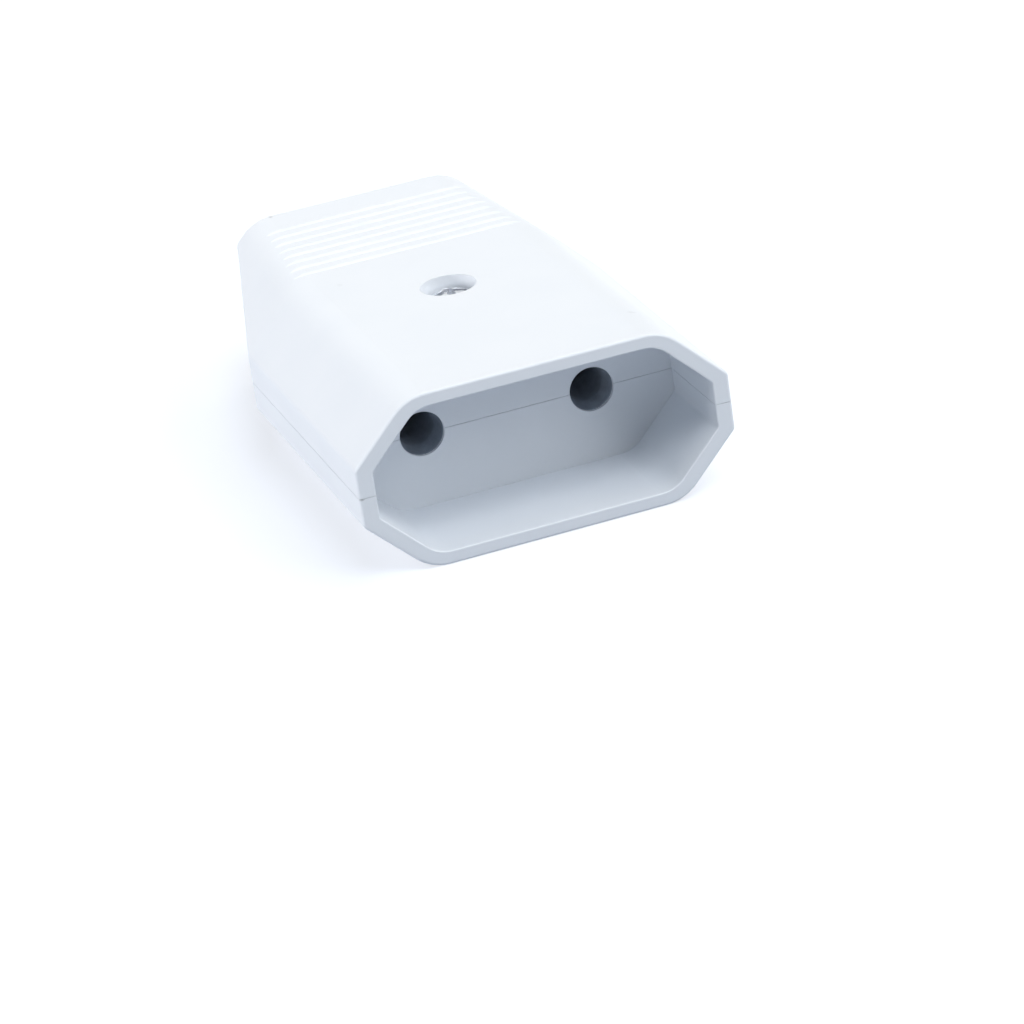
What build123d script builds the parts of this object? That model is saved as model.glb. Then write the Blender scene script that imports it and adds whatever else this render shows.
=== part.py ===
"""Rewirable two-pole socket: two half shells, pin contacts, cord anchorage and cable sleeve.

Millimetres. The mouth faces -Y, the cable end +Y, and the screw side is up. The origin is on the
resting face, below the middle of the socket's length. A depth is a distance behind the mouth, and
a height is above the joint plane, half way up, where the two half shells meet.
"""

import os
from math import radians, tan

from build123d import *

# Housing
BODY_WIDTH = 40.0
BODY_HEIGHT = 18.7
BODY_LENGTH = 62.2
SHOULDER_DEPTH = 38.0
SIDE_HEIGHT = 6.2
REAR_WIDTH = 27.2
REAR_SIDE_HEIGHT = 14.2
EDGE_RADIUS = 5.0
SIDE_EDGE_RADIUS = 0.8
RIM_RADIUS = 0.3
REAR_EDGE_RADIUS = 0.6
SHELL_WALL = 1.8
SEAM_GAP = 0.04
SEAM_DEPTH = 0.12

# Mouth and pin holes
RIM_WALL = 1.45
RIM_SIDE_WALL = 1.8
RIM_BEVEL_WALL = 1.7
RECESS_RADIUS = 3.5
RECESS_SIDE_RADIUS = 0.5
RECESS_DEPTH = 12.4
LEAD_IN = 0.1
FLOOR_WALL = 1.0
PIN_SPACING = 18.6
PIN_HOLE_DIAMETER = 4.8
PIN_HOLE_LIP = 0.4

# Grip grooves across both broad faces
GROOVE_COUNT = 8
GROOVE_PITCH = 2.18
GROOVE_WIDTH = 0.9
GROOVE_DEPTH = 0.3
GROOVE_REAR_MARGIN = 5.9

# Cover screw and nut
SCREW_DEPTH = 27.3
SCREW_DIAMETER = 2.9
SCREW_HEAD_DIAMETER = 5.0
SCREW_HEAD_HEIGHT = 2.1
SCREW_HEAD_DOME = 0.75
SCREW_HEAD_SINK = 0.6
SCREW_TIP_REACH = 0.5
COUNTERBORE_DIAMETER = 6.0
BOSS_DIAMETER = 9.6
NUT_ACROSS_FLATS = 5.5
NUT_HEIGHT = 2.4
NUT_SINK = 1.6

# Pin contacts
CONTACT_DIAMETER = 5.5
CONTACT_BORE = 4.1
CONTACT_LEAD_IN = 2.0
CONTACT_END_WALL = 1.0
PIN_REACH = 19.6
SLIT_WIDTH = 0.7
SLIT_LENGTH = 12.0
TERMINAL_SIZE = 7.0
TERMINAL_LENGTH = 8.0
TERMINAL_CHAMFER = 0.4
WIRE_HOLE_DIAMETER = 2.8
WIRE_HOLE_LENGTH = 6.5

# Terminal screws
TERMINAL_SCREW_SETBACK = 4.0
TERMINAL_SCREW_DIAMETER = 2.5
TERMINAL_SCREW_LENGTH = 3.4
TERMINAL_HEAD_DIAMETER = 5.0
TERMINAL_HEAD_HEIGHT = 1.6

# Ribs that carry the contacts, and rails that line up the half shells
RIB_THICKNESS = 1.6
RIB_MARGIN = 1.2
FRONT_SADDLE_SETBACK = 3.0
STOP_DROP = 1.9
RAIL_THICKNESS = 0.8
RAIL_HEIGHT = 1.2

# Cord anchorage
CLAMP_REAR_MARGIN = 11.6
CLAMP_LENGTH = 23.0
CLAMP_WIDTH = 6.6
CLAMP_THICKNESS = 2.6
CLAMP_SEAT = 2.6
CLAMP_RIDGE = 0.8
CLAMP_RIDGE_SPACING = 3.0
CLAMP_SCREW_SPACING = 16.0
CLAMP_SCREW_DIAMETER = 2.6
CLAMP_SCREW_GRIP = 7.5
CLAMP_HEAD_DIAMETER = 4.8
CLAMP_HEAD_HEIGHT = 1.7
POST_DIAMETER = 6.0
CORD_DIAMETER = 6.4
CRADLE_DROP = 2.5

# Cable sleeve
SLEEVE_REACH = 8.7
SLEEVE_BORE = 6.8
SLEEVE_FLARE_DIAMETER = 8.0
SLEEVE_FLARE_LENGTH = 1.8
SLEEVE_NECK_DIAMETER = 8.1
SLEEVE_FLANGE_DIAMETER = 10.7
SLEEVE_FLANGE_THICKNESS = 1.6
SLEEVE_FLANGE_GAP = 0.2
SLEEVE_INNER_FLANGE_DIAMETER = 12.4
SLEEVE_BEAD_DIAMETER = 8.8
SLEEVE_BEAD_START = 3.7
SLEEVE_BEAD_LENGTH = 1.6
SLEEVE_BEAD_SLOPE = 0.45
SLEEVE_COLLAR_START = 6.2
SLEEVE_COLLAR_STEP = 0.3
SLEEVE_COLLAR_DIAMETER = 8.4
SLEEVE_TIP_DIAMETER = 8.9
SLEEVE_EDGE = 0.35

# Screw heads
SLOT_WIDTH = 0.9
SLOT_DEPTH = 0.9
CROSS_SHARE = 0.8

CLEARANCE = 0.1

MOUTH_Y = -(BODY_LENGTH + SLEEVE_REACH) / 2
JOINT_Z = BODY_HEIGHT / 2
CHAMBER_START = RECESS_DEPTH + FLOOR_WALL
CHAMBER_END = BODY_LENGTH - SHELL_WALL
RECESS_WIDTH = BODY_WIDTH - 2 * RIM_SIDE_WALL
RECESS_HEIGHT = BODY_HEIGHT - 2 * RIM_WALL
RECESS_SIDE_HEIGHT = SIDE_HEIGHT + 2 * (RIM_SIDE_WALL - RIM_BEVEL_WALL * 2**0.5)
PIN_X = PIN_SPACING / 2
CONTACT_START = RECESS_DEPTH + PIN_HOLE_LIP + CLEARANCE
CONTACT_BORE_END = RECESS_DEPTH + PIN_REACH
TERMINAL_START = CONTACT_BORE_END + CONTACT_END_WALL
TERMINAL_END = TERMINAL_START + TERMINAL_LENGTH
CLAMP_DEPTH = BODY_LENGTH - CLAMP_REAR_MARGIN
SIDES = {"left": -1, "right": 1}
STANDING = (Align.CENTER, Align.CENTER, Align.MIN)
HANGING = (Align.CENTER, Align.CENTER, Align.MAX)


def at(x, depth, height=0.0):
    """Point at a depth behind the mouth and a height above the joint plane."""
    return (x, MOUTH_Y + depth, JOINT_Z + height)


def cross_plane(depth):
    """Plane across the socket at a depth, seen from the mouth, centred on the joint plane."""
    return Plane(origin=at(0, depth), x_dir=(1, 0, 0), z_dir=(0, -1, 0))


def octagon(depth, width, height, side_height, radius, side_radius, grow=0.0):
    """Octagonal outline across the socket at a depth, with 45 degree bevels, moved outwards by grow."""
    half_corner = tan(radians(22.5))
    half_width = width / 2 + grow
    half_height = height / 2 + grow
    half_side = side_height / 2 + grow * half_corner
    bevel = half_height - half_side
    half_flat = half_width - bevel
    widest_radius = 0.95 * bevel * 2**0.5 / half_corner - side_radius
    with BuildSketch(cross_plane(depth)) as section:
        with BuildLine():
            Polyline(
                (half_flat, half_height),
                (half_width, half_side),
                (half_width, -half_side),
                (half_flat, -half_height),
                (-half_flat, -half_height),
                (-half_width, -half_side),
                (-half_width, half_side),
                (-half_flat, half_height),
                close=True,
            )
        make_face()
        columns = section.vertices().group_by(Axis.X)
        if side_radius > 0:
            fillet(columns[0] + columns[-1], side_radius)
        rows = section.vertices().group_by(Axis.Y)
        fillet(rows[0] + rows[-1], min(radius + grow, widest_radius))
    return section.sketch


def housing_section(depth, inset):
    """Outline of the housing at a depth, moved inwards by a wall."""
    taper = max(0.0, depth - SHOULDER_DEPTH) / (BODY_LENGTH - SHOULDER_DEPTH)
    width = BODY_WIDTH + taper * (REAR_WIDTH - BODY_WIDTH)
    side_height = SIDE_HEIGHT + taper * (REAR_SIDE_HEIGHT - SIDE_HEIGHT)
    side_radius = max(0.0, SIDE_EDGE_RADIUS - inset)
    return octagon(depth, width, BODY_HEIGHT, side_height, EDGE_RADIUS, side_radius, -inset)


def recess_section(depth, grow=0.0):
    """Outline of the plug recess at a depth, moved outwards by a lead-in."""
    sizes = (RECESS_WIDTH, RECESS_HEIGHT, RECESS_SIDE_HEIGHT)
    return octagon(depth, *sizes, RECESS_RADIUS, RECESS_SIDE_RADIUS, grow)


def housing_form(start, end, inset):
    """Solid of the housing's outline between two depths: straight, then tapering to the cable end."""
    with BuildPart() as form:
        extrude(housing_section(start, inset), amount=start - SHOULDER_DEPTH)
        loft([housing_section(SHOULDER_DEPTH, inset), housing_section(end, inset)], ruled=True)
    return form.part


# Outside and inside of the housing, both halves together
with BuildPart() as outer_form:
    add(housing_form(0, BODY_LENGTH, 0))
    fillet(outer_form.faces().sort_by(Axis.Y)[0].edges(), RIM_RADIUS)
    fillet(outer_form.faces().sort_by(Axis.Y)[-1].edges(), REAR_EDGE_RADIUS)

with BuildPart() as recess:
    extrude(recess_section(0), amount=-RECESS_DEPTH)
    loft([recess_section(0, LEAD_IN), recess_section(LEAD_IN)], ruled=True)

chamber = housing_form(CHAMBER_START, CHAMBER_END, SHELL_WALL)

# Fine gap that shows along the joint line, outside and in the mouth
with BuildPart() as seam:
    with BuildSketch(Plane(at(0, 0))):
        Rectangle(2 * BODY_WIDTH, 4 * BODY_LENGTH)
        with BuildLine():
            Polyline(
                (-BODY_WIDTH / 2 + SEAM_DEPTH, 0),
                (BODY_WIDTH / 2 - SEAM_DEPTH, 0),
                (BODY_WIDTH / 2 - SEAM_DEPTH, SHOULDER_DEPTH),
                (REAR_WIDTH / 2 - SEAM_DEPTH, BODY_LENGTH - SEAM_DEPTH),
                (-REAR_WIDTH / 2 + SEAM_DEPTH, BODY_LENGTH - SEAM_DEPTH),
                (-BODY_WIDTH / 2 + SEAM_DEPTH, SHOULDER_DEPTH),
                close=True,
            )
        make_face(mode=Mode.SUBTRACT)
        Rectangle(BODY_WIDTH, 2 * SEAM_DEPTH)
        Rectangle(RECESS_WIDTH + 2 * SEAM_DEPTH, 2 * (RECESS_DEPTH + SEAM_DEPTH))
    extrude(amount=SEAM_GAP / 2, both=True)

with BuildPart() as pin_holes:
    with BuildSketch(cross_plane(RECESS_DEPTH)):
        with Locations((-PIN_X, 0), (PIN_X, 0)):
            Circle(PIN_HOLE_DIAMETER / 2)
    extrude(amount=-FLOOR_WALL)
    with BuildSketch(cross_plane(CHAMBER_START)):
        with Locations((-PIN_X, 0), (PIN_X, 0)):
            Circle(CONTACT_DIAMETER / 2 + CLEARANCE)
    extrude(amount=FLOOR_WALL - PIN_HOLE_LIP)

with BuildPart() as sleeve_hole:
    with BuildSketch(cross_plane(CHAMBER_END)):
        Circle(SLEEVE_NECK_DIAMETER / 2 + CLEARANCE)
    extrude(amount=-SHELL_WALL)

with BuildPart() as grooves:
    with BuildSketch(Plane(at(0, BODY_LENGTH - GROOVE_REAR_MARGIN), x_dir=(0, 1, 0), z_dir=(1, 0, 0))):
        for index in range(GROOVE_COUNT):
            with Locations((-index * GROOVE_PITCH, JOINT_Z), (-index * GROOVE_PITCH, -JOINT_Z)):
                Polygon(
                    (-GROOVE_WIDTH / 2, 0),
                    (0, -GROOVE_DEPTH),
                    (GROOVE_WIDTH / 2, 0),
                    (0, GROOVE_DEPTH),
                )
    extrude(amount=BODY_WIDTH / 2, both=True)

SHELL_CUTS = (seam, pin_holes, sleeve_hole, grooves)


def half_housing(keep):
    """One half of the hollow housing, cut at the joint plane."""
    with BuildPart() as half:
        add(outer_form.part)
        split(bisect_by=Plane.XY.offset(JOINT_Z), keep=keep)
        add(recess.part, mode=Mode.SUBTRACT)
        add(chamber, mode=Mode.SUBTRACT)
    return half.part


def contact_saddles(align):
    """Cross ribs around both contacts, from the joint plane to the broad face on one side of it."""
    front = CONTACT_START + FRONT_SADDLE_SETBACK
    rear = TERMINAL_START - CLEARANCE - RIB_THICKNESS / 2
    places = [at(side * PIN_X, depth) for side in SIDES.values() for depth in (front, rear)]
    with BuildPart() as saddles:
        with Locations(places):
            Box(CONTACT_DIAMETER + 2 * RIB_MARGIN, RIB_THICKNESS, JOINT_Z, align=align)
        with BuildSketch(cross_plane(CHAMBER_START)):
            with Locations((-PIN_X, 0), (PIN_X, 0)):
                Circle(CONTACT_DIAMETER / 2 + CLEARANCE)
        extrude(amount=CHAMBER_START - TERMINAL_START, mode=Mode.SUBTRACT)
    return saddles.part


base_half = half_housing(Keep.BOTTOM)
cover_half = half_housing(Keep.TOP)
base_saddles = contact_saddles(HANGING)
cover_saddles = contact_saddles(STANDING)

with BuildPart() as base_shell:
    add(base_half)
    add(base_saddles)
    for side in SIDES.values():
        with Locations(at(side * PIN_X, (TERMINAL_START + TERMINAL_END) / 2, -TERMINAL_SIZE / 2)):
            Box(TERMINAL_SIZE - 2 * RIB_MARGIN, TERMINAL_LENGTH, JOINT_Z, align=HANGING)
        with Locations(at(side * PIN_X, TERMINAL_END + CLEARANCE + RIB_THICKNESS / 2, -STOP_DROP)):
            Box(TERMINAL_SIZE + 2 * RIB_MARGIN, RIB_THICKNESS, JOINT_Z, align=HANGING)
        with Locations(at(side * CLAMP_SCREW_SPACING / 2, CLAMP_DEPTH, CLAMP_SEAT)):
            Cylinder(POST_DIAMETER / 2, JOINT_Z + CLAMP_SEAT, align=HANGING)
        rail_x = BODY_WIDTH / 2 - SHELL_WALL - CLEARANCE - RAIL_THICKNESS / 2
        rail_length = SHOULDER_DEPTH - CHAMBER_START - 2 * SHELL_WALL
        with Locations(at(side * rail_x, (CHAMBER_START + SHOULDER_DEPTH) / 2)):
            Box(RAIL_THICKNESS, rail_length, 2 * RAIL_HEIGHT)
            Box(RAIL_THICKNESS + 4 * CLEARANCE, rail_length, RAIL_HEIGHT, align=HANGING)
    with Locations(at(0, SCREW_DEPTH)):
        Cylinder(BOSS_DIAMETER / 2, JOINT_Z, align=HANGING)
    partition_length = TERMINAL_END + RIB_THICKNESS - SCREW_DEPTH
    with Locations(at(0, SCREW_DEPTH + partition_length / 2)):
        Box(RIB_THICKNESS, partition_length, JOINT_Z, align=HANGING)
    with Locations(at(0, CLAMP_DEPTH, -CRADLE_DROP)):
        Box(CLAMP_SCREW_SPACING - POST_DIAMETER / 2, CLAMP_WIDTH, JOINT_Z, align=HANGING)
    with BuildSketch(cross_plane(CLAMP_DEPTH - CLAMP_WIDTH)):
        Circle(CORD_DIAMETER / 2)
    extrude(amount=-2 * CLAMP_WIDTH, mode=Mode.SUBTRACT)
    add(outer_form.part, mode=Mode.INTERSECT)
    for cut in SHELL_CUTS:
        add(cut.part, mode=Mode.SUBTRACT)
    with Locations(at(0, SCREW_DEPTH)):
        Cylinder(SCREW_DIAMETER / 2 + CLEARANCE, BODY_HEIGHT, mode=Mode.SUBTRACT)
    with BuildSketch(Plane(at(0, SCREW_DEPTH, -JOINT_Z))):
        RegularPolygon(NUT_ACROSS_FLATS / 2 + CLEARANCE, 6, major_radius=False)
    extrude(amount=NUT_SINK + NUT_HEIGHT, mode=Mode.SUBTRACT)
    for side in SIDES.values():
        with Locations(at(side * CLAMP_SCREW_SPACING / 2, CLAMP_DEPTH, CLAMP_SEAT)):
            hole_radius = CLAMP_SCREW_DIAMETER / 2 + CLEARANCE
            Cylinder(hole_radius, CLAMP_SCREW_GRIP + CLEARANCE, align=HANGING, mode=Mode.SUBTRACT)

with BuildPart() as cover_shell:
    add(cover_half)
    add(cover_saddles)
    with Locations(at(0, SCREW_DEPTH)):
        Cylinder(BOSS_DIAMETER / 2, JOINT_Z, align=STANDING)
    add(outer_form.part, mode=Mode.INTERSECT)
    for cut in SHELL_CUTS:
        add(cut.part, mode=Mode.SUBTRACT)
    with Locations(at(0, SCREW_DEPTH, JOINT_Z)):
        CounterBoreHole(
            radius=SCREW_DIAMETER / 2 + CLEARANCE,
            counter_bore_radius=COUNTERBORE_DIAMETER / 2,
            counter_bore_depth=SCREW_HEAD_SINK + SCREW_HEAD_HEIGHT,
            depth=JOINT_Z,
        )

with BuildPart() as cable_sleeve:
    inner_end = -SHELL_WALL - CLEARANCE - SLEEVE_FLANGE_THICKNESS
    neck = SLEEVE_NECK_DIAMETER / 2
    flange = SLEEVE_FLANGE_DIAMETER / 2
    flange_end = SLEEVE_FLANGE_GAP + SLEEVE_FLANGE_THICKNESS
    bead = SLEEVE_BEAD_DIAMETER / 2
    bead_end = SLEEVE_BEAD_START + SLEEVE_BEAD_LENGTH
    with BuildSketch(Plane(at(0, BODY_LENGTH), x_dir=(0, 1, 0), z_dir=(1, 0, 0))):
        with BuildLine():
            Polyline(
                (inner_end, SLEEVE_BORE / 2),
                (inner_end, SLEEVE_INNER_FLANGE_DIAMETER / 2),
                (-SHELL_WALL - CLEARANCE, SLEEVE_INNER_FLANGE_DIAMETER / 2),
                (-SHELL_WALL - CLEARANCE, neck),
                (SLEEVE_FLANGE_GAP, neck),
                (SLEEVE_FLANGE_GAP, flange - SLEEVE_EDGE),
                (SLEEVE_FLANGE_GAP + SLEEVE_EDGE, flange),
                (flange_end - SLEEVE_EDGE, flange),
                (flange_end, flange - SLEEVE_EDGE),
                (flange_end, neck),
                (SLEEVE_BEAD_START, neck),
                (SLEEVE_BEAD_START + SLEEVE_BEAD_SLOPE, bead),
                (bead_end - SLEEVE_BEAD_SLOPE, bead),
                (bead_end, neck),
                (SLEEVE_COLLAR_START, neck),
                (SLEEVE_COLLAR_START + SLEEVE_COLLAR_STEP, SLEEVE_COLLAR_DIAMETER / 2),
                (SLEEVE_REACH, SLEEVE_TIP_DIAMETER / 2),
                (SLEEVE_REACH, SLEEVE_FLARE_DIAMETER / 2),
                (SLEEVE_REACH - SLEEVE_FLARE_LENGTH, SLEEVE_BORE / 2),
                close=True,
            )
        make_face()
    revolve(axis=Axis(at(0, BODY_LENGTH), (0, 1, 0)))


def screw(seat, shank_diameter, shank_length, head_diameter, head_height, slots, dome=0.0):
    """Screw whose head stands on its seat, flat or domed, with one slot or two crossed ones."""
    slot_length = head_diameter * (CROSS_SHARE if slots > 1 else 1.0)
    with BuildPart() as body:
        with Locations(seat):
            Cylinder(head_diameter / 2, head_height, align=STANDING)
        if dome > 0:
            dome_radius = (head_diameter**2 / 4 + dome**2) / (2 * dome)
            with Locations(Plane(seat).offset(head_height - dome_radius)):
                Sphere(dome_radius, mode=Mode.INTERSECT)
        with Locations(seat):
            Cylinder(shank_diameter / 2, shank_length, align=HANGING)
        with Locations(Plane(seat).offset(head_height)):
            for turn in range(slots):
                slot_size = (slot_length, SLOT_WIDTH, 2 * SLOT_DEPTH)
                Box(*slot_size, rotation=(0, 0, 90 * turn), mode=Mode.SUBTRACT)
    return body.part


def pin_contact(x):
    """Turned pin contact: a slit spring sleeve in front and a square terminal head behind."""
    with BuildPart() as contact:
        with BuildSketch(cross_plane(CONTACT_START)):
            with Locations((x, 0)):
                Circle(CONTACT_DIAMETER / 2)
        extrude(amount=CONTACT_START - TERMINAL_START)
        with BuildSketch(cross_plane(TERMINAL_START)):
            with Locations((x, 0)):
                Rectangle(TERMINAL_SIZE, TERMINAL_SIZE)
        extrude(amount=-TERMINAL_LENGTH)
        chamfer(contact.faces().sort_by(Axis.Y)[-1].edges(), TERMINAL_CHAMFER)
        with BuildSketch(cross_plane(CONTACT_START)):
            with Locations((x, 0)):
                Circle(CONTACT_BORE / 2)
        extrude(amount=CONTACT_START - CONTACT_BORE_END, mode=Mode.SUBTRACT)
        front = contact.faces().sort_by(Axis.Y)[0]
        mouth_edge = front.edges().sort_by(SortBy.RADIUS)[0]
        mouth_wall = (PIN_HOLE_DIAMETER - CONTACT_BORE) / 2
        chamfer(mouth_edge, mouth_wall, CONTACT_LEAD_IN, reference=front)
        with BuildSketch(cross_plane(TERMINAL_END)):
            with Locations((x, 0)):
                Circle(WIRE_HOLE_DIAMETER / 2)
        extrude(amount=WIRE_HOLE_LENGTH, mode=Mode.SUBTRACT)
        with Locations(at(x, CONTACT_START + SLIT_LENGTH / 2)):
            Box(SLIT_WIDTH, SLIT_LENGTH, CONTACT_DIAMETER, align=STANDING, mode=Mode.SUBTRACT)
        with Locations(at(x, TERMINAL_START + TERMINAL_SCREW_SETBACK)):
            hole_radius = (TERMINAL_SCREW_DIAMETER + CLEARANCE) / 2
            Cylinder(hole_radius, TERMINAL_SIZE, align=STANDING, mode=Mode.SUBTRACT)
    return contact.part


with BuildPart() as cover_nut:
    with BuildSketch(Plane(at(0, SCREW_DEPTH, NUT_SINK - JOINT_Z))):
        RegularPolygon(NUT_ACROSS_FLATS / 2, 6, major_radius=False)
        Circle((SCREW_DIAMETER + CLEARANCE) / 2, mode=Mode.SUBTRACT)
    extrude(amount=NUT_HEIGHT)

with BuildPart() as cord_clamp:
    with BuildSketch(Plane(at(0, CLAMP_DEPTH, CLAMP_SEAT))):
        SlotOverall(CLAMP_LENGTH, CLAMP_WIDTH)
        with GridLocations(CLAMP_SCREW_SPACING, 0, 2, 1):
            Circle(CLAMP_SCREW_DIAMETER / 2 + CLEARANCE, mode=Mode.SUBTRACT)
    extrude(amount=CLAMP_THICKNESS)
    with BuildSketch(Plane(at(0, CLAMP_DEPTH, CLAMP_SEAT), x_dir=(0, 1, 0), z_dir=(1, 0, 0))):
        with GridLocations(CLAMP_RIDGE_SPACING, 0, 2, 1):
            RegularPolygon(CLAMP_RIDGE, 4)
    extrude(amount=(CLAMP_SCREW_SPACING - POST_DIAMETER) / 2 - CLEARANCE, both=True)

pieces = {
    "base_shell": base_shell.part,
    "cover_shell": cover_shell.part,
    "cable_sleeve": cable_sleeve.part,
    "cover_nut": cover_nut.part,
    "cord_clamp": cord_clamp.part,
}

head_seat = JOINT_Z - SCREW_HEAD_SINK - SCREW_HEAD_HEIGHT
pieces["cover_screw"] = screw(
    at(0, SCREW_DEPTH, head_seat),
    SCREW_DIAMETER,
    head_seat + JOINT_Z - NUT_SINK + SCREW_TIP_REACH,
    SCREW_HEAD_DIAMETER,
    SCREW_HEAD_HEIGHT,
    slots=2,
    dome=SCREW_HEAD_DOME,
)
for name, side in SIDES.items():
    pieces[f"contact_{name}"] = pin_contact(side * PIN_X)
    pieces[f"terminal_screw_{name}"] = screw(
        at(side * PIN_X, TERMINAL_START + TERMINAL_SCREW_SETBACK, TERMINAL_SIZE / 2),
        TERMINAL_SCREW_DIAMETER,
        TERMINAL_SCREW_LENGTH,
        TERMINAL_HEAD_DIAMETER,
        TERMINAL_HEAD_HEIGHT,
        slots=1,
    )
    pieces[f"clamp_screw_{name}"] = screw(
        at(side * CLAMP_SCREW_SPACING / 2, CLAMP_DEPTH, CLAMP_SEAT + CLAMP_THICKNESS),
        CLAMP_SCREW_DIAMETER,
        CLAMP_THICKNESS + CLAMP_SCREW_GRIP,
        CLAMP_HEAD_DIAMETER,
        CLAMP_HEAD_HEIGHT,
        slots=2,
    )

os.makedirs("parts", exist_ok=True)
for name, piece in pieces.items():
    piece.label = name
    export_step(piece, f"parts/{name}.step")
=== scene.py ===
"""Looks of the rewirable socket: finishes, the soft sleeve, studio light and the photograph's camera.

Metres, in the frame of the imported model: the mouth faces -Y, the cable end +Y, the screw side is up.
"""

from math import cos, pi, radians, sin

import bpy
from mathutils import Matrix, Vector, noise


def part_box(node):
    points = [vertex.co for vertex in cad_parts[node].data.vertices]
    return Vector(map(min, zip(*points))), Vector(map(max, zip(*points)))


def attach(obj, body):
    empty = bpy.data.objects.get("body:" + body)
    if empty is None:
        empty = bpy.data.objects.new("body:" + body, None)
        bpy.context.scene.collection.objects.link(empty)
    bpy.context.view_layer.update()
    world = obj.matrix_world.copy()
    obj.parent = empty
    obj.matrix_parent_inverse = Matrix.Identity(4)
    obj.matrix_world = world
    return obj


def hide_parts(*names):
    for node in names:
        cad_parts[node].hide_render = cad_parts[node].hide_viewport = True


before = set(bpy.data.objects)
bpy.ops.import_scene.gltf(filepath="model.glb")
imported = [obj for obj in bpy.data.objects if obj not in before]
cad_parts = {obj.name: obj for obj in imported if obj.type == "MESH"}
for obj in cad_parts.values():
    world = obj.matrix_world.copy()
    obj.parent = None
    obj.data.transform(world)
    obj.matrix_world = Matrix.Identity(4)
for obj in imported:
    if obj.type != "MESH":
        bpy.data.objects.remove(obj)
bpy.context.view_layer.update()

MM = 0.001
WHITE = (1.0, 1.0, 1.0, 1.0)

# Camera: place, angles in degrees and focal length in millimetres
CAMERA_PLACE = (-120.39 * MM, -442.28 * MM, 184.14 * MM)
CAMERA_HEADING = 15.88
CAMERA_DIP = 23.09
CAMERA_ROLL = -8.73
CAMERA_LENS = 161.08

# Light: direction towards each lamp, strength, colour and width in degrees
LAMPS = {
    "key": ((-0.97, 0.10, 0.22), 2.06, (0.98, 0.98, 1.0), 25.0),
    "fill": ((0.60, 0.0, 0.80), 1.97, (1.0, 0.985, 0.955), 70.0),
    "front": ((0.0, -0.50, 0.87), 1.0, (0.92, 0.96, 1.0), 25.0),
    "low": ((0.45, -0.70, 0.55), 0.72, (0.92, 0.96, 1.0), 25.0),
}
SKY_COLOUR = (0.92, 0.96, 1.0, 1.0)
SKY_STRENGTH = 0.03

# Floor: its colour takes light and shadow, and the lift brings it up to white where it is seen
FLOOR_SIZE = 6.0
FLOOR_COLOUR = (0.45, 0.49, 0.56, 1.0)
FLOOR_LIFT = 0.60

# Finishes: the two colours that a surface varies between, its range of roughness and its soft edges
PLASTIC_COLOURS = ((0.832, 0.868, 0.914, 1.0), (0.849, 0.882, 0.924, 1.0))
PLASTIC_ROUGHNESS = (0.36, 0.46)
PLASTIC_IOR = 1.47
PLASTIC_EDGE = 0.07 * MM
SLEEVE_COLOURS = ((0.745, 0.755, 0.77, 1.0), (0.785, 0.79, 0.80, 1.0))
SLEEVE_ROUGHNESS = (0.46, 0.62)
SLEEVE_SCATTER = 0.15
SLEEVE_SCATTER_REACH = (0.6 * MM, 0.55 * MM, 0.5 * MM)
CLAMP_COLOURS = ((0.62, 0.63, 0.63, 1.0), (0.67, 0.68, 0.68, 1.0))
CLAMP_ROUGHNESS = (0.5, 0.62)
NICKEL_COLOURS = ((0.80, 0.82, 0.85, 1.0), (0.60, 0.62, 0.66, 1.0))
NICKEL_ROUGHNESS = (0.14, 0.28)
CONTACT_COLOURS = ((0.45, 0.50, 0.57, 1.0), (0.39, 0.44, 0.51, 1.0))
CONTACT_ROUGHNESS = (0.62, 0.76)
METAL_EDGE = 0.1 * MM
EDGE_SAMPLES = 4

# Marks on the shells: place, half extents and darkness of each mark; the first three are dirt, the last is
# painted shade at the seam
DIRT_AND_SHADE_MARKS = (
    ((-9.5 * MM, 26.0 * MM, 18.6 * MM), (0.28 * MM, 0.55 * MM, 0.45 * MM), 0.30),
    ((-9.56 * MM, -0.24 * MM, 18.7 * MM), (0.35 * MM, 0.45 * MM, 0.40 * MM), 0.06),
    ((13.16 * MM, -27.98 * MM, 18.47 * MM), (0.55 * MM, 0.30 * MM, 0.40 * MM), 0.12),
    # Painted shade: a dark spot standing in for the shade of a small notch at the seam
    ((-19.75 * MM, -35.4 * MM, 9.27 * MM), (0.34 * MM, 0.34 * MM, 0.14 * MM), 0.40),
)
# Colour of the dirt marks and of the painted seam shade
DIRT_AND_SHADE_COLOUR = (0.16, 0.16, 0.15, 1.0)
MARK_CORE = 0.9
MARK_END = 1.6

# Soft sleeve: corners of its section as distance behind the rear face, radius and softness
SLEEVE_REACH = 8.7 * MM
SLEEVE_SEGMENTS = 144
SLEEVE_STEPS = 6
SLEEVE_CORNERS = (
    (-3.50, 3.40, 0.15),
    (-3.50, 6.20, 0.30),
    (-1.90, 6.20, 0.30),
    (-1.90, 4.05, 0.10),
    (0.20, 4.05, 0.05),
    (0.20, 5.35, 0.30),
    (1.80, 5.35, 0.45),
    (1.75, 4.12, 0.30),
    (3.60, 4.16, 0.80),
    (4.25, 4.42, 0.25),
    (5.00, 4.42, 0.25),
    (5.22, 4.08, 0.12),
    (7.30, 4.10, 0.80),
    (8.35, 4.45, 0.35),
    (8.70, 4.32, 0.18),
    (8.66, 4.04, 0.14),
    (7.90, 3.72, 0.40),
    (6.90, 3.40, 0.40),
)

# Unevenness of the sleeve: where its free length and its lip start, and how far they swell and tear
FREE_START = 1.8
FREE_RUN = 2.0
LIP_START = 7.6
LIP_RUN = 1.0
SWELL = 0.07
SWELL_OFFSET = 0.4
SWELL_WAVES = 2.2
SWELL_WAVES_ALONG = 0.35
TEAR = 0.22
TEAR_WAVES = 9.0
TEAR_SEED = 3.7

# Places of the colours among the sockets of a Mix node
MIX_FIRST = 6
MIX_SECOND = 7
MIX_RESULT = 2


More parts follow.
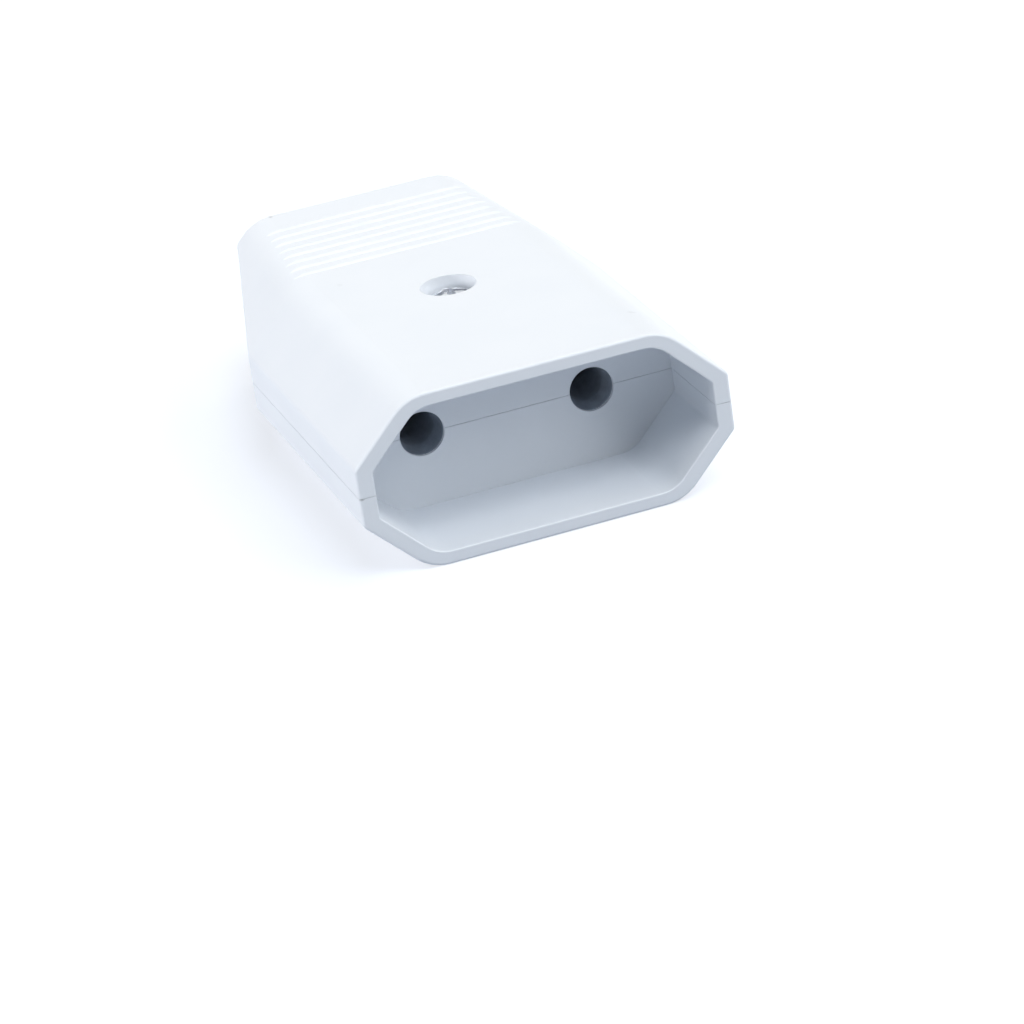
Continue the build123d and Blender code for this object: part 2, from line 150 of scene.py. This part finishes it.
class Shader:
    """A node material with one Principled shader, and short ways to add the nodes that drive it."""

    def __init__(self, name):
        self.material = bpy.data.materials.new(name)
        self.material.use_nodes = True
        self.tree = self.material.node_tree
        self.surface = self.tree.nodes["Principled BSDF"]
        self.place = self.tree.nodes.new("ShaderNodeTexCoord").outputs["Object"]

    def feed(self, value, socket):
        """Sets a number or colour on a socket, or links a node's output to it."""
        if isinstance(value, (float, tuple)):
            socket.default_value = value
        else:
            self.tree.links.new(value, socket)

    def drive(self, name, value):
        """Feeds an input of the Principled shader."""
        self.feed(value, self.surface.inputs[name])

    def noise(self, size, detail=2.0):
        """Noise with features of about the given size."""
        node = self.tree.nodes.new("ShaderNodeTexNoise")
        node.inputs["Scale"].default_value = 1 / size
        node.inputs["Detail"].default_value = detail
        self.feed(self.place, node.inputs["Vector"])
        return node.outputs["Fac"]

    def ramp(self, value, low, high, start=0.3, end=0.7):
        """Value from start to end, spread over the range from low to high."""
        node = self.tree.nodes.new("ShaderNodeMapRange")
        node.inputs["From Min"].default_value = start
        node.inputs["From Max"].default_value = end
        node.inputs["To Min"].default_value = low
        node.inputs["To Max"].default_value = high
        self.feed(value, node.inputs["Value"])
        return node.outputs["Result"]

    def mix(self, factor, first, second):
        """Colour between two others, each a colour or a node's output."""
        node = self.tree.nodes.new("ShaderNodeMix")
        node.data_type = "RGBA"
        self.feed(factor, node.inputs["Factor"])
        self.feed(first, node.inputs[MIX_FIRST])
        self.feed(second, node.inputs[MIX_SECOND])
        return node.outputs[MIX_RESULT]

    def add(self, first, second):
        """Sum of two numbers."""
        node = self.tree.nodes.new("ShaderNodeMath")
        node.operation = "ADD"
        self.feed(first, node.inputs[0])
        self.feed(second, node.inputs[1])
        return node.outputs["Value"]

    def vector(self, operation, first, second=(0.0, 0.0, 0.0)):
        """Result of a vector operation: a number for LENGTH, and otherwise a vector."""
        node = self.tree.nodes.new("ShaderNodeVectorMath")
        node.operation = operation
        self.feed(first, node.inputs[0])
        self.feed(second, node.inputs[1])
        return node.outputs["Value" if operation == "LENGTH" else "Vector"]

    def soft_edges(self, radius):
        """Normal that rounds sharp edges by a small radius."""
        node = self.tree.nodes.new("ShaderNodeBevel")
        node.samples = EDGE_SAMPLES
        node.inputs["Radius"].default_value = radius
        return node.outputs["Normal"]

    def bump(self, height, depth, normal=None):
        """Normal with a relief of the given depth, over another normal if one is given."""
        node = self.tree.nodes.new("ShaderNodeBump")
        node.inputs["Distance"].default_value = depth
        self.feed(height, node.inputs["Height"])
        if normal:
            self.feed(normal, node.inputs["Normal"])
        return node.outputs["Normal"]


def white_plastic():
    """Cool white moulded plastic with a satin gloss, slight flow marks, the dirt marks and a painted shade
    at the seam.
    """
    shader = Shader("white_plastic")
    flow = shader.ramp(shader.noise(9 * MM, 3.0), 0.0, 1.0)
    colour = shader.mix(flow, *PLASTIC_COLOURS)
    grit = shader.noise(0.25 * MM)
    # Darkens the dirt marks; the last mark is painted shade at the seam
    for place, extents, darkness in DIRT_AND_SHADE_MARKS:
        offset = shader.vector("SUBTRACT", shader.place, place)
        reach = shader.vector("LENGTH", shader.vector("DIVIDE", offset, extents))
        shade = shader.ramp(shader.add(reach, grit), darkness, 0.0, MARK_CORE, MARK_END)
        colour = shader.mix(shade, colour, DIRT_AND_SHADE_COLOUR)
    shader.drive("Base Color", colour)
    shader.drive("Roughness", shader.ramp(shader.noise(3 * MM), *PLASTIC_ROUGHNESS))
    shader.drive("IOR", PLASTIC_IOR)
    grain = shader.bump(shader.noise(0.35 * MM, 1.0), 0.003 * MM, shader.soft_edges(PLASTIC_EDGE))
    shader.drive("Normal", shader.bump(shader.noise(6 * MM), 0.02 * MM, grain))
    return shader.material


def soft_sleeve():
    """Soft off-white sleeve with a dull, slightly uneven skin."""
    shader = Shader("soft_sleeve")
    stain = shader.ramp(shader.noise(2.5 * MM, 4.0), 0.0, 1.0)
    shader.drive("Base Color", shader.mix(stain, *SLEEVE_COLOURS))
    shader.drive("Roughness", shader.ramp(shader.noise(1.2 * MM), *SLEEVE_ROUGHNESS))
    shader.drive("Subsurface Weight", SLEEVE_SCATTER)
    shader.drive("Subsurface Radius", SLEEVE_SCATTER_REACH)
    shader.drive("Subsurface Scale", 1.0)
    shader.drive("Normal", shader.bump(shader.noise(0.3 * MM, 3.0), 0.015 * MM))
    return shader.material


def metal(name, colours, roughness):
    """Plated metal with faint tool marks."""
    shader = Shader(name)
    tarnish = shader.ramp(shader.noise(1.1 * MM, 4.0), 0.0, 1.0)
    shader.drive("Base Color", shader.mix(tarnish, *colours))
    shader.drive("Metallic", 1.0)
    shader.drive("Roughness", shader.ramp(shader.noise(0.4 * MM, 3.0), *roughness))
    shader.drive("Normal", shader.bump(shader.noise(0.18 * MM), 0.008 * MM, shader.soft_edges(METAL_EDGE)))
    return shader.material


def clamp_plastic():
    """Matt grey-white plastic of the clamp bar."""
    shader = Shader("clamp_plastic")
    cloud = shader.ramp(shader.noise(3 * MM, 3.0), 0.0, 1.0)
    shader.drive("Base Color", shader.mix(cloud, *CLAMP_COLOURS))
    shader.drive("Roughness", shader.ramp(shader.noise(0.8 * MM), *CLAMP_ROUGHNESS))
    shader.drive("Normal", shader.bump(shader.noise(0.25 * MM), 0.01 * MM))
    return shader.material


def dress(node, material):
    """Gives a node of the frame its material."""
    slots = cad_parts[node].data.materials
    slots.clear()
    slots.append(material)


def add_object(name, mesh):
    """New object of the scene with the given mesh."""
    item = bpy.data.objects.new(name, mesh)
    bpy.context.scene.collection.objects.link(item)
    return item


def sleeve_outline():
    """Points around the sleeve's section, with every corner softened into a curve."""
    outline = []
    for index, (along, radius, reach) in enumerate(SLEEVE_CORNERS):
        corner = Vector((along, radius))
        before = Vector(SLEEVE_CORNERS[index - 1][:2])
        after = Vector(SLEEVE_CORNERS[(index + 1) % len(SLEEVE_CORNERS)][:2])
        start = corner + (before - corner).normalized() * reach
        end = corner + (after - corner).normalized() * reach
        for step in range(SLEEVE_STEPS + 1):
            share = step / SLEEVE_STEPS
            outline.append(start.lerp(corner, share).lerp(corner.lerp(end, share), share))
    return outline


def uneven(along, radius, across, up):
    """Point of the sleeve's section, swollen a little on the free length and torn a little at the lip."""
    free = min(max(along - FREE_START, 0.0) / FREE_RUN, 1.0)
    lip = min(max(along - LIP_START, 0.0) / LIP_RUN, 1.0)
    swell = noise.noise(Vector((SWELL_WAVES * across, SWELL_WAVES * up, SWELL_WAVES_ALONG * along)))
    tear = abs(noise.noise(Vector((TEAR_WAVES * across, TEAR_WAVES * up, TEAR_SEED))))
    return along - TEAR * lip * tear, radius + SWELL * free * (swell - SWELL_OFFSET)


def add_sleeve(material):
    """Soft cable sleeve, turned from its section, with the slight unevenness of a thin moulding."""
    low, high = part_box("cable_sleeve")
    rear_face = high[1] - SLEEVE_REACH
    axis_height = (low[2] + high[2]) / 2
    outline = sleeve_outline()
    count = len(outline)
    points = []
    faces = []
    for turn in range(SLEEVE_SEGMENTS):
        angle = 2 * pi * turn / SLEEVE_SEGMENTS
        across, up = cos(angle), sin(angle)
        here = turn * count
        beside = (turn + 1) % SLEEVE_SEGMENTS * count
        for index, place in enumerate(outline):
            along, radius = uneven(*place, across, up)
            points.append((across * radius * MM, rear_face + along * MM, axis_height + up * radius * MM))
            after = (index + 1) % count
            faces.append((here + index, here + after, beside + after, beside + index))
    mesh = bpy.data.meshes.new("soft_cable_sleeve")
    mesh.from_pydata(points, [], faces)
    mesh.shade_smooth()
    mesh.materials.append(material)
    sleeve = add_object("soft_cable_sleeve", mesh)
    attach(sleeve, "root")
    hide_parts("cable_sleeve")


def seen_by_camera(tree):
    """Factor that is 1 for rays that show the background to the camera, and 0 for its light."""
    path = tree.nodes.new("ShaderNodeLightPath")
    total = path.outputs["Is Camera Ray"]
    for output in ("Is Glossy Ray", "Is Transmission Ray"):
        node = tree.nodes.new("ShaderNodeMath")
        node.operation = "MAXIMUM"
        tree.links.new(total, node.inputs[0])
        tree.links.new(path.outputs[output], node.inputs[1])
        total = node.outputs[0]
    return total


def add_floor():
    """Plain white floor that takes the object's shadow."""
    half = FLOOR_SIZE / 2
    corners = [(-half, -half, 0), (half, -half, 0), (half, half, 0), (-half, half, 0)]
    shader = Shader("floor")
    shader.drive("Base Color", FLOOR_COLOUR)
    shader.drive("Roughness", 1.0)
    shader.drive("Specular IOR Level", 0.0)
    shader.drive("Emission Color", WHITE)
    shader.drive("Emission Strength", shader.ramp(seen_by_camera(shader.tree), 0.0, FLOOR_LIFT, 0.0, 1.0))
    mesh = bpy.data.meshes.new("floor")
    mesh.from_pydata(corners, [], [(0, 1, 2, 3)])
    mesh.materials.append(shader.material)
    floor = add_object("floor", mesh)


def add_sky():
    """Even fill light that the camera sees as white."""
    world = bpy.data.worlds.new("sky")
    world.use_nodes = True
    bpy.context.scene.world = world
    tree = world.node_tree
    light = tree.nodes["Background"]
    light.inputs["Color"].default_value = SKY_COLOUR
    light.inputs["Strength"].default_value = SKY_STRENGTH
    white = tree.nodes.new("ShaderNodeBackground")
    white.inputs["Color"].default_value = WHITE
    mix = tree.nodes.new("ShaderNodeMixShader")
    tree.links.new(seen_by_camera(tree), mix.inputs[0])
    tree.links.new(light.outputs[0], mix.inputs[1])
    tree.links.new(white.outputs[0], mix.inputs[2])
    tree.links.new(mix.outputs[0], tree.nodes["World Output"].inputs["Surface"])


def add_lamp(name, place, strength, colour, width):
    """Soft light from a direction."""
    lamp = bpy.data.lights.new(name, "SUN")
    lamp.energy = strength
    lamp.color = colour
    lamp.angle = radians(width)
    holder = add_object(name, lamp)
    holder.rotation_euler = Vector(place).to_track_quat("Z", "Y").to_euler()


def add_camera():
    """Camera at the photograph's viewpoint."""
    data = bpy.data.cameras.new("camera")
    data.lens = CAMERA_LENS
    camera = add_object("camera", data)
    heading = Matrix.Rotation(radians(-CAMERA_HEADING), 4, "Z")
    dip = Matrix.Rotation(radians(90 - CAMERA_DIP), 4, "X")
    roll = Matrix.Rotation(radians(CAMERA_ROLL), 4, "Z")
    camera.matrix_world = Matrix.Translation(CAMERA_PLACE) @ heading @ dip @ roll
    bpy.context.scene.camera = camera


housing = white_plastic()
nickel = metal("nickel", NICKEL_COLOURS, NICKEL_ROUGHNESS)
plated = metal("plated_brass", CONTACT_COLOURS, CONTACT_ROUGHNESS)
sleeve_skin = soft_sleeve()
dress("base_shell", housing)
dress("cover_shell", housing)
dress("cable_sleeve", sleeve_skin)
dress("cord_clamp", clamp_plastic())
dress("cover_screw", nickel)
dress("cover_nut", nickel)
for side in ("left", "right"):
    dress(f"contact_{side}", plated)
    dress(f"terminal_screw_{side}", nickel)
    dress(f"clamp_screw_{side}", nickel)
add_sleeve(sleeve_skin)

add_floor()
add_sky()
for name, settings in LAMPS.items():
    add_lamp(name, *settings)
add_camera()
bpy.context.scene.view_settings.view_transform = "Standard"
